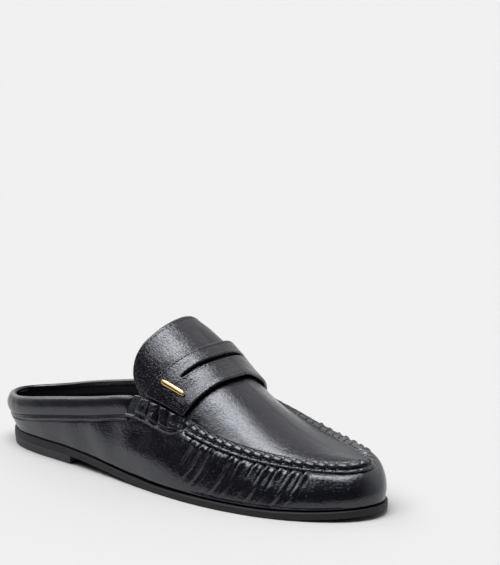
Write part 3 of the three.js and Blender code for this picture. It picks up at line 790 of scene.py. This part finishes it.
def strap_piece():
    """The strap with its tapered slot, its front edge standing off the apron."""
    nj = 170
    q0 = np.linspace(1.01, 2.99, nj)
    rear, front = along(STRAP_REAR, q0), along(STRAP_FRONT, q0)
    width = np.linalg.norm(last(np.radians(front), q0) - last(np.radians(rear), q0), axis=-1)
    inside = np.clip((q0 - SLOT["start"]) / (SLOT["end"] - SLOT["start"]), 0, 1)
    half_slot = SLOT["half"] * (4 * inside * (1 - inside)) ** 0.38
    slot_open = soft(half_slot / 0.35)[None, :]
    rear_end = (SLOT["place"] - half_slot / width)[None, :]
    front_start = (SLOT["place"] + half_slot / width)[None, :]
    bands = []
    for start, end, count in ((0.0, rear_end, 26), (front_start, 1.0, 40)):
        steps = edge_steps(1.0, count, 0.08)[:, None]
        s = mix(start, end, steps)
        u = np.radians(mix(rear, front, s))
        q = np.clip(np.broadcast_to(q0, u.shape), from_seam(u, -1, 1.7), from_seam(u, 1, 1.7))
        to_rear = s * width
        to_front = (1 - s) * width
        cross = lengths(last(u, q), 1)
        to_end = np.minimum(cross, cross[:, -1:] - cross)
        to_slot = np.abs(np.abs((s - SLOT["place"]) * width) - half_slot)
        to_slot = np.where(half_slot > 0.02, to_slot, 9.0)
        half = np.minimum.reduce([
            rounded(to_rear, STRAP_T, STRAP_EDGE),
            rounded(to_front, STRAP_T, STRAP_EDGE),
            rounded(to_end, STRAP_T, STRAP_EDGE),
            mix(STRAP_T / 2, rounded(to_slot, STRAP_T, 0.8), slot_open),
        ])
        lift = 0.9 * soft(1 - to_front / 9.0) * soft(np.minimum(q - 1, 3 - q) / 0.25)
        lift = lift * (1 - 0.7 * soft((q - 2) / 0.5))
        groove = 0.10 * bell(to_front - 2.2, 0.4) + 0.10 * bell(to_rear - STRAP_STITCH, 0.4)
        slot_lip = 0.16 * bell(to_slot - 0.9, 0.7) * slot_open
        swell = 0.10 * ripple(cross, to_rear, 31, 18)
        middle = STRAP_LIFT + STRAP_T / 2 + lift + swell + slot_lip
        bands += sheet(u, q, middle - half, middle + half - groove)
    points, faces = joined(bands)
    return mesh_piece("saddle_strap", points, faces, CROWN, ("strap",), weld=0.02)


# Raised seam round the apron
def seam_stitches():
    limit = abs(float(seam_run(math.radians(SEAM_END)))) - 1.0
    count = int(2 * limit / STITCH_PITCH)
    rng = np.random.default_rng(17)
    base = np.linspace(-limit + 2.0, limit - 2.0, count)
    return base + rng.uniform(-0.35, 0.35, count)


STITCHES = seam_stitches()


# Section of the raised seam: distance from the seam, height
SEAM_PROFILE = [
    (-6.9, -0.5), (-6.4, -0.4), (-6.05, 0.5), (-5.7, 1.45), (-5.3, 1.8), (-4.7, 1.7), (-4.1, 1.45),
    (-3.7, 1.1), (-3.3, 0.4), (-2.95, 0.2), (-2.6, 0.7), (-2.25, 1.65), (-1.85, 1.95), (-1.35, 1.85),
    (-0.8, 1.6), (-0.4, 1.35), (0.0, 0.75), (0.4, 0.2), (0.9, 0.2), (1.3, 0.4), (1.7, -0.25),
]
SEAM_TWIST = 1.0       # each lump of the inner ridge turns across the seam like the strands of a rope
SEAM_SLANT = 0.45      # the stitches cross the seam aslant
SEAM_MIDDLE = -2.0


def seam_height(d, s):
    """Two ridges with a channel between, pinched in at each hand stitch."""
    run = s - SEAM_SLANT * (d - SEAM_MIDDLE)
    pinch = np.zeros(np.broadcast(d, s).shape)
    for k in STITCHES:
        pinch = pinch + bell(run - k, 0.72)
    lump = np.clip(np.searchsorted(STITCHES, run) - 1, 0, len(STITCHES) - 2)
    phase = np.clip((run - (STITCHES[lump] + STITCHES[lump + 1]) / 2) / STITCH_PITCH, -0.5, 0.5)
    inner = soft((d + 3.2) / 0.7) * soft((0.9 - d) / 0.7)
    calm = 1 - 0.6 * bell(s, 12.0) - 0.9 * soft((s - 10) / 30)
    depth = mix(0.34, 0.66, soft((d + 3.4) / 1.2)) * soft((1.3 - d) / 0.6)
    return along(SEAM_PROFILE, d + SEAM_TWIST * phase * inner * calm) * (1 - depth * pinch * calm)


def moc_seam_piece():
    d = np.linspace(SEAM_PROFILE[0][0], SEAM_PROFILE[-1][0], 54)
    end = abs(float(seam_run(math.radians(SEAM_END))))
    s = np.linspace(-end, end, 700)[:, None]
    u, side = on_ring(ring_at(s))
    h = seam_height(d[None, :], s) * mix(0.75, 1.0, soft((end - np.abs(s)) / 3.0))
    top = skin(u, from_seam(u, side, d[None, :]), h)
    under_d = np.array([1.0, -2.0, -6.0])
    under = skin(u, from_seam(u, side, under_d[None, :]), -0.3)
    points = np.concatenate([top, under], 1)
    faces = tube(len(s), points.shape[1])
    return mesh_piece("moc_seam_ridge", points, faces, SEAM, ("moc_seam",))


def strand(path, radius, sides=7):
    """A closed tube along a path of points."""
    path = np.asarray(path, float)
    tangent = np.gradient(path, axis=0)
    tangent /= np.linalg.norm(tangent, axis=-1, keepdims=True) + 1e-12
    up = np.cross(tangent, np.array([0.31, 0.22, 0.92]))
    up /= np.linalg.norm(up, axis=-1, keepdims=True) + 1e-12
    side = np.cross(tangent, up)
    w = (np.arange(sides) * 2 * np.pi / sides)[:, None]
    spoke = up[:, None] * np.cos(w) + side[:, None] * np.sin(w)
    rings = path[:, None] + np.broadcast_to(radius, len(path))[:, None, None] * spoke
    return rings.reshape(-1, 3), tube(len(path), sides)


def hand_stitches():
    parts = []
    d = np.linspace(-2.9, 1.55, 9)
    radius = np.array([0.3, 0.36, 0.4, 0.4, 0.4, 0.4, 0.4, 0.36, 0.3])
    for k in STITCHES:
        if abs(k) < 4:
            continue
        s = k + SEAM_SLANT * (d - SEAM_MIDDLE)
        u, side = on_ring(ring_at(s))
        h = seam_height(d, s) - 0.12
        h[0] -= 0.5
        h[-1] = -0.25
        parts.append(strand(skin(u, from_seam(u, side, d), h), radius))
    points, faces = joined(parts)
    return mesh_piece("hand_stitches", points, faces, THREAD)


# Side tabs: gathered ends over the rim
TAB_LENGTH = 36.0
TAB_FORM = dict(base=0.55, lobes=2.8, hem=0.85, groove=0.25, flange=0.9, tilt=0.05)
TAB_CREASES = (0.16, 0.36, 0.54, 0.71, 0.88)     # shares of the length, a lobe between each two
# Each lobe draws its height, its middle across the tab, its slant and the place of its dent
LOBE_LOW = (0.85, 0.54, -0.9, -0.6)
LOBE_HIGH = (1.2, 0.68, 0.9, 0.6)


def tab_lobes(s, t, seed):
    """The puckered lobes of a tab: s along it, t from its lower edge up."""
    rng = np.random.default_rng(seed)
    knot = np.zeros(np.broadcast(s, t).shape)
    for a, b in zip(TAB_CREASES[:-1], TAB_CREASES[1:]):
        height, place, slant, dent = rng.uniform(LOBE_LOW, LOBE_HIGH)
        x = (s - (a + b) / 2) / ((b - a) / 2) + slant * (t - place)
        along_lobe = np.clip(1 - np.abs(x) ** 2.2, 0, 1) ** 0.8
        across_lobe = np.clip(1 - np.abs((t - place) / 0.46) ** 4, 0, 1) ** 0.6
        hollow = 0.12 * bell(x - dent, 0.25) * bell(t - place - 0.25 * dent, 0.22)
        knot = np.maximum(knot, height * (along_lobe * across_lobe - hollow))
    return knot


def tab_piece(name, node, side_sign):
    n, m = 230, 60
    s = np.linspace(0, 1, n)[:, None]
    t = np.linspace(0, 1, m)[None, :]
    along_tab = s + TAB_FORM["tilt"] * (t - 0.5)
    knot = tab_lobes(along_tab, t, 41 if side_sign < 0 else 43)
    body = soft((t - 0.2) / 0.1) * soft((1.02 - t) / 0.12)
    hem = bell(t - 0.09, 0.075)
    groove = bell(t - 0.2, 0.05)
    front_part = soft((along_tab - 0.15) / 0.03)
    flange = (1 - front_part) * (0.9 + 0.16 * np.sin(2 * np.pi * (s * TAB_LENGTH - t * 3.0) / 1.35))
    h = TAB_FORM["base"] + front_part * body * (TAB_FORM["lobes"] * knot + 0.1)
    h = h + TAB_FORM["flange"] * flange * soft(t / 0.1)
    h = h + TAB_FORM["hem"] * hem - TAB_FORM["groove"] * groove * front_part
    h = h + 0.10 * ripple(s * TAB_LENGTH, t * 12, 47, 3.5) * front_part * body
    ends = np.minimum(soft(s / 0.02), soft((1 - s) / 0.03))
    sides = np.minimum(soft(t / 0.04), soft((1 - t) / 0.04))
    h = mix(-0.3, h, np.minimum(ends, sides))
    d = mix(-along(TAB_DROP, s), TAB["rise"], t)
    lean = COLLAR_LEAN * (1 + mix(-TAB_DROP[0][1], TAB["rise"], t) / COLLAR_DROP)
    u = np.radians(mix(COLLAR_END - GAP - 0.5 + lean, SEAM_END - TAB["clear"], s))
    q = from_seam(u, side_sign, d)
    faces = grid(n, m) if side_sign < 0 else grid(n, m)[:, ::-1]
    points, faces = joined([(skin(u, q, h), faces), (skin(u, q, -0.35), faces[:, ::-1])])
    return mesh_piece(name, points, faces, PUCKERED, (node,))


# Machine stitches along a path
def stitch_row(u, q, out, length=2.0, gap=0.75, radius=0.2):
    """Short sunk threads along a path given by stations and places across."""
    p = skin(u, q, out)
    n = normal(u, q)
    run = lengths(p)
    margin = 0.6
    start = margin
    parts = []
    while start + length < run[-1] - margin:
        x = np.linspace(0, 1, 6)
        at = start + x * length
        c = np.stack([np.interp(at, run, p[:, k]) for k in range(3)], -1)
        m = np.stack([np.interp(at, run, n[:, k]) for k in range(3)], -1)
        c = c + m * (np.sin(np.pi * x) * 0.22 - 0.14)[:, None]
        parts.append(strand(c, radius * (0.7 + 0.3 * np.sin(np.pi * x)), 6))
        start += length + gap
    return parts


def inset_line(rows, inset, q_range):
    """A line on the skin at a distance inside an edge given by a table."""
    q = np.linspace(q_range[0], q_range[1], 160)
    u = np.radians(along(rows, q))
    e = 0.004
    p = last(u, q)
    t = np.gradient(p, axis=0)
    n = normal(u, q)
    inward = np.cross(t, n)
    inward /= np.linalg.norm(inward, axis=-1, keepdims=True)
    gu = (last(u + e, q) - p) / e
    gq = (last(u, q + e) - p) / e
    guu, gqq, guq = (gu * gu).sum(-1), (gq * gq).sum(-1), (gu * gq).sum(-1)
    bu, bq = (gu * inward).sum(-1) * inset, (gq * inward).sum(-1) * inset
    det = guu * gqq - guq ** 2
    return u + (bu * gqq - bq * guq) / det, q + (bq * guu - bu * guq) / det


def edge_stitches():
    parts = []
    u, q = inset_line(TONGUE_EDGE, TONGUE_STITCH, (1.10, 2.90))
    parts += stitch_row(u, q, 0.02 - tongue_turn(TONGUE_STITCH))
    u, q = inset_line(STRAP_REAR, STRAP_STITCH, (1.12, 2.88))
    parts += stitch_row(u, q, STRAP_LIFT + STRAP_T, 1.6, 0.6, 0.16)
    points, faces = joined(parts)
    return mesh_piece("edge_stitches", points, faces, THREAD)


def collar_stitches():
    p = np.linspace(-COLLAR_END + 2, COLLAR_END - 2, 900)
    side = np.where(p > 0, 1, -1)
    u = np.radians(np.abs(p))
    q = from_seam(u, side, -COLLAR_DROP - 2.9)
    points, faces = joined(stitch_row(u, q, 0.0, 0.95, 0.45, 0.17))
    return mesh_piece("collar_stitches", points, faces, THREAD)


# Sole unit
def outline(th, inset):
    """The sole's outline at ring angles, moved in by an inset."""
    out_x, out_y = outward(th)
    return station_x(REACH["sole"], th) - out_x * inset, sole_y(th) - out_y * inset


def plate(name, reach, rows, material, node, front=None, dish=None):
    """A plate with the sole's outline: rows of inset, height and front cut from the top down."""
    n = 300
    half = np.linspace(0, reach, n)
    loops = []
    for inset, height, cut in rows:
        pair = []
        for th in (half, 2 * np.pi - half):
            x, y = outline(th, inset)
            if front is not None:
                x = np.minimum(x, front - cut)
            pair.append(np.stack([x, y, height(x)], -1))
        loops.append(pair)
    outer = np.stack([pair[0] for pair in loops], 1)
    inner = np.stack([pair[1] for pair in loops], 1)
    parts = [(outer, grid(n, len(rows))[:, ::-1]), (inner, grid(n, len(rows)))]
    k = np.linspace(0, 1, 25)
    for row, flip in ((0, False), (-1, True)):
        a, b = loops[row]
        cover = mix(a[:, None], b[:, None], k[None, :, None])
        if row == 0 and dish is not None:
            cover[..., 2] += dish(cover[..., 0], k[None, :])
        faces = grid(n, len(k))
        parts.append((cover, faces[:, ::-1] if flip else faces))
    if front is not None:
        wall = np.stack([mix(pair[0][-1], pair[1][-1], k[:, None]) for pair in loops], 0)
        parts.append((wall, grid(len(rows), len(k))))
    points, faces = joined(parts)
    return mesh_piece(name, points, faces, material, (node,), sharp=38, weld=0.01)


def sole_low(x):
    return sole_top(x) - SOLE_T


def rounded_rows(top, bottom, radius, low):
    """Rows of an edge with rounded corners between two heights."""
    rows = []
    for a in np.linspace(0, np.pi / 2, 5):
        drop = radius * (1 - math.cos(a))
        rows.append((radius * (1 - math.sin(a)), lambda x, drop=drop: top(x) - drop, 0.0))
    for a in np.linspace(np.pi / 2, 0, 5):
        rise = low * (1 - math.cos(a))
        rows.append((low * (1 - math.sin(a)), lambda x, rise=rise: bottom(x) + rise, 0.0))
    return rows


# Heel block: inset, height and how far its front is set back, with a line round it between two lifts
HEEL_ROWS = [
    (0.25, 2.5, 0.2), (0.32, 2.42, 0.22), (0.27, 2.34, 0.2),
    (0.45, 0.7, 0.3), (0.6, 0.25, 0.4), (1.1, 0.0, 0.5),
]
# Hollow of the sock: depth, and the share across where it is full
HEEL_CUP = (0.7, 0.5)
BALL_CUP = (0.5, 0.7)
BALL = (175, 34)       # its middle and spread along the shoe


def sock_dish(x, k):
    across = 1 - np.abs(2 * k - 1)
    cup = -HEEL_CUP[0] * soft(across / HEEL_CUP[1])
    return cup - BALL_CUP[0] * bell(x - BALL[0], BALL[1]) * soft(across / BALL_CUP[1])


def sock_low(x):
    return sole_top(x) + GAP


def sock_top(x):
    return sock_low(x) + INSOLE_T


def sole_pieces():
    rows = rounded_rows(sole_top, sole_low, 0.7, 0.25)
    # the outsole's edge takes the black darkened to paint shade on the front of the sole
    plate("outsole_plate", np.pi, rows, SOLE_EDGE_WITH_PAINTED_SHADE, "outsole")

    breast = math.acos(1 - 2 * BREAST_X / LENGTH)
    rows = [(0.05, lambda x: sole_low(x) - 0.02, 0.0), (0.0, lambda x: sole_low(x) - 0.1, 0.0)]
    rows += [(inset, lambda x, height=height: height + 0 * x, cut) for inset, height, cut in HEEL_ROWS]
    # the heel block takes the lighter black that paints light on the heel
    plate("heel_block", breast, rows, HEEL_LIFT_WITH_PAINTED_LIGHT, "heel", front=BREAST_X)

    rows = [(INSOLE_INSET + 0.9, lambda x: sock_top(x) + 0.12, 0.0)]
    rows += [(INSOLE_INSET - 0.6 + inset, height, 0.0)
             for inset, height, _ in rounded_rows(sock_top, sock_low, 0.6, 0.6)]
    plate("sock_insole", np.pi, rows, SOCK, "insole", dish=sock_dish)


# Plain bar pin
def pin_piece():
    seat = STRAP_LIFT + STRAP_T + 0.12
    u0, q0 = math.radians(PIN["u"]), PIN["q"]
    e = 0.01
    o = skin(u0, q0, seat)
    nu = np.linalg.norm(skin(u0 + e, q0, seat) - o) / e
    nq = np.linalg.norm(skin(u0, q0 + e, seat) - o) / e
    turn = math.radians(PIN["turn"])
    rings, sides = 41, 24
    x = np.sin(np.linspace(-np.pi / 2, np.pi / 2, rings))
    w = (np.arange(sides) + 0.5) * 2 * np.pi / sides
    size = np.maximum((1 - np.abs(x) ** 7) ** 0.5, 0.02)[:, None]
    s = (x * PIN["length"] / 2)[:, None]
    cw, sw = np.cos(w), np.sin(w)
    t = np.sign(cw) * np.abs(cw) ** 0.75 * PIN["width"] / 2 * size
    h = (np.sign(sw) * np.abs(sw) ** 0.8 * 0.5 * size + 0.5) * PIN["height"]
    du = (s * math.cos(turn) - t * math.sin(turn)) / nu
    dq = (s * math.sin(turn) + t * math.cos(turn)) / nq
    points = skin(u0 + du, q0 + dq, seat + h)
    return mesh_piece("gold_bar_pin", points, tube(rings, sides), GOLD, ("bar_pin",))


# Camera at the photograph's angle
AZIMUTH, ELEVATION = math.radians(42.5), math.radians(15.0)
DISTANCE = 2.184
FOCAL_PX = 4060.0
AIM = Vector(place([[121.5, 0.0, 25.0]])[0])
PHOTO = (500, 565)
AIM_PX = (186.4 - PHOTO[0] / 2, 427.9 - PHOTO[1] / 2)
SENSOR = 36.0


def make_camera():
    a, e = AZIMUTH, ELEVATION
    right = Vector((math.cos(a), math.sin(a), 0))
    up = Vector((-math.sin(a) * math.sin(e), math.cos(a) * math.sin(e), math.cos(e)))
    back = Vector((math.sin(a) * math.cos(e), -math.cos(a) * math.cos(e), math.sin(e)))
    look = Vector((AIM_PX[0], -AIM_PX[1], -FOCAL_PX)).normalized()
    turn = look.rotation_difference(Vector((0, 0, -1))).to_matrix()
    axes = Matrix((right, up, back)).transposed()
    data = bpy.data.cameras.new("camera")
    data.sensor_width = SENSOR
    data.lens = SENSOR * FOCAL_PX / PHOTO[1]
    data.clip_end = 50.0
    camera = bpy.data.objects.new("camera", data)
    camera.matrix_world = Matrix.Translation(AIM + back * DISTANCE) @ (axes @ turn).to_4x4()
    bpy.context.scene.collection.objects.link(camera)
    bpy.context.scene.camera = camera


# Studio light: soft boxes by direction, azimuth from the outer side towards the toe, in degrees
BOXES = [
    # azimuth, elevation, full within, none beyond, brightness
    (-16, 84, 12, 23, 8.0),
    (-32, 58, 8, 24, 3.4),
    (-66, 46, 6, 20, 1.6),
    (-97, 38, 6, 14, 3.0),
    (-128, 20, 6, 18, 0.9),
    (176, 33, 16, 52, 0.4),
    (-95, 8, 12, 45, 0.3),
]
FLOOR_TONE = (0.590, 0.587, 0.583)
ROOM = 0.04            # the dark of the room
BACKDROP = 0.4         # pale backdrop behind the shoe


def studio_world():
    world = bpy.data.worlds.new("studio")
    world.use_nodes = True
    tree = world.node_tree
    direction = tree.nodes.new("ShaderNodeTexCoord").outputs["Generated"]
    split = tree.nodes.new("ShaderNodeSeparateXYZ")
    tree.links.new(direction, split.inputs["Vector"])
    total = spread_value(tree, split.outputs["Y"], ROOM, BACKDROP, -0.1, 0.3)
    for azimuth, elevation, full, none, brightness in BOXES:
        az, el = math.radians(azimuth), math.radians(elevation)
        level = math.cos(el)
        dot = tree.nodes.new("ShaderNodeVectorMath")
        dot.operation = "DOT_PRODUCT"
        dot.inputs[1].default_value = (math.sin(az) * level, -math.cos(az) * level, math.sin(el))
        tree.links.new(direction, dot.inputs[0])
        lobe = spread_value(tree, dot.outputs["Value"], 0.0, brightness,
                            math.cos(math.radians(none)), math.cos(math.radians(full)))
        lobe.node.interpolation_type = "SMOOTHSTEP"
        add = tree.nodes.new("ShaderNodeMath")
        tree.links.new(total, add.inputs[0])
        tree.links.new(lobe, add.inputs[1])
        total = add.outputs["Value"]
    feed(tree, tree.nodes["Background"], {"Color": (0.985, 0.99, 1.0, 1), "Strength": total})
    bpy.context.scene.world = world


def make_stage():
    mesh = bpy.data.meshes.new("floor")
    size = 12.0
    corners = [(-size, -size, 0), (size, -size, 0), (size, size, 0), (-size, size, 0)]
    mesh.from_pydata(corners, [], [(0, 1, 2, 3)])
    floor = bpy.data.objects.new("floor", mesh)
    bpy.context.scene.collection.objects.link(floor)
    material, tree, shader, _ = build_material("pale_floor")
    feed(tree, shader, {"Base Color": (*FLOOR_TONE, 1), "Roughness": 0.9, "Specular IOR Level": 0.1})
    mesh.materials.append(material)
    studio_world()
    bpy.context.scene.view_settings.view_transform = "Standard"


make_camera()
make_stage()
upper_piece()
lining_piece()
collar_piece()
tongue_piece()
strap_piece()
moc_seam_piece()
hand_stitches()
tab_piece("tab_lateral_puckers", "side_tab_lateral", -1)
tab_piece("tab_medial_puckers", "side_tab_medial", 1)
edge_stitches()
collar_stitches()
sole_pieces()
pin_piece()
